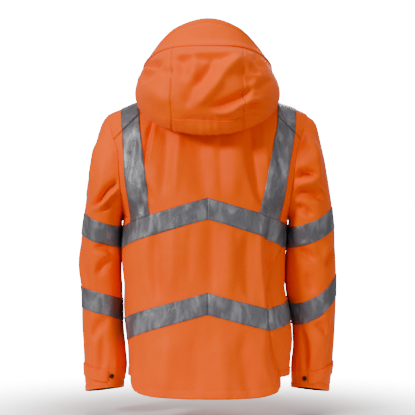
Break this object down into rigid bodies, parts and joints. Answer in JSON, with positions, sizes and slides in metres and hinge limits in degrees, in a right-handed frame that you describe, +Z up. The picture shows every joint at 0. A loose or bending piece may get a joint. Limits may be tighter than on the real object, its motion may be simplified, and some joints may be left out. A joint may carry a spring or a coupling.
{
  "type": "hooded hi-vis work jacket",
  "caption": "Hooded high-visibility work jacket, filled out as worn, with reflective bands and braces, a laid-back hood, a full front zip and tabbed cuffs.",
  "frame": {"origin": "middle of the neck opening at the height of the shoulders' top, where the wearer's neck and shoulders carry the jacket", "axes": "+Z up; +Y the way the wearer faces, so the back faces -Y; +X towards the wearer's right arm"},
  "size_m": [0.6336, 0.3795, 0.9047],
  "materials": {
    "shell_fabric": "woven polyester shell, coated inside, fluorescent orange",
    "reflective_tape": "glass-bead retroreflective fabric tape, silver grey",
    "dark_facing": "dark woven facing",
    "black_plastic": "moulded, satin",
    "zip_plastic": "moulded zip teeth",
    "zip_metal": "cast slider, dark enamel"
  },
  "bodies": {
    "garment": {"back_panel": "shell_fabric", "front_left": "shell_fabric", "front_right": "shell_fabric", "sleeve_left": "shell_fabric", "sleeve_right": "shell_fabric", "collar": "shell_fabric", "hood_centre": "shell_fabric", "hood_side_left": "shell_fabric", "hood_side_right": "shell_fabric", "hood_peak": "shell_fabric", "hood_adjuster": "shell_fabric", "cuff_tab_left": "shell_fabric", "cuff_tab_right": "shell_fabric", "tape_back_left_upper": "reflective_tape", "tape_back_left_lower": "reflective_tape", "brace_back_left": "reflective_tape", "tape_back_right_upper": "reflective_tape", "tape_back_right_lower": "reflective_tape", "brace_back_right": "reflective_tape", "tape_front_left_upper": "reflective_tape", "tape_front_left_lower": "reflective_tape", "brace_front_left": "reflective_tape", "tape_front_right_upper": "reflective_tape", "tape_front_right_lower": "reflective_tape", "brace_front_right": "reflective_tape", "tape_sleeve_left_upper": "reflective_tape", "tape_sleeve_left_lower": "reflective_tape", "cuff_facing_left": "dark_facing", "cuff_stud_left": "black_plastic", "zip_tape_left": "dark_facing", "tape_sleeve_right_upper": "reflective_tape", "tape_sleeve_right_lower": "reflective_tape", "cuff_facing_right": "dark_facing", "cuff_stud_right": "black_plastic", "zip_tape_right": "dark_facing", "sleeve_patch": "dark_facing", "zip_chain": "zip_plastic", "zip_bottom_box": "zip_plastic", "zip_slider": "zip_metal"},
    "zip_pull": {"zip_pull": "black_plastic"}
  },
  "joints": [
    {"name": "zip_pull_hinge", "type": "hinge", "parent": "garment", "child": "zip_pull", "pos_m": [0, 0.09126, -0.002], "axis": [1, 0, 0], "range_deg": [0, 135]}
  ]
}
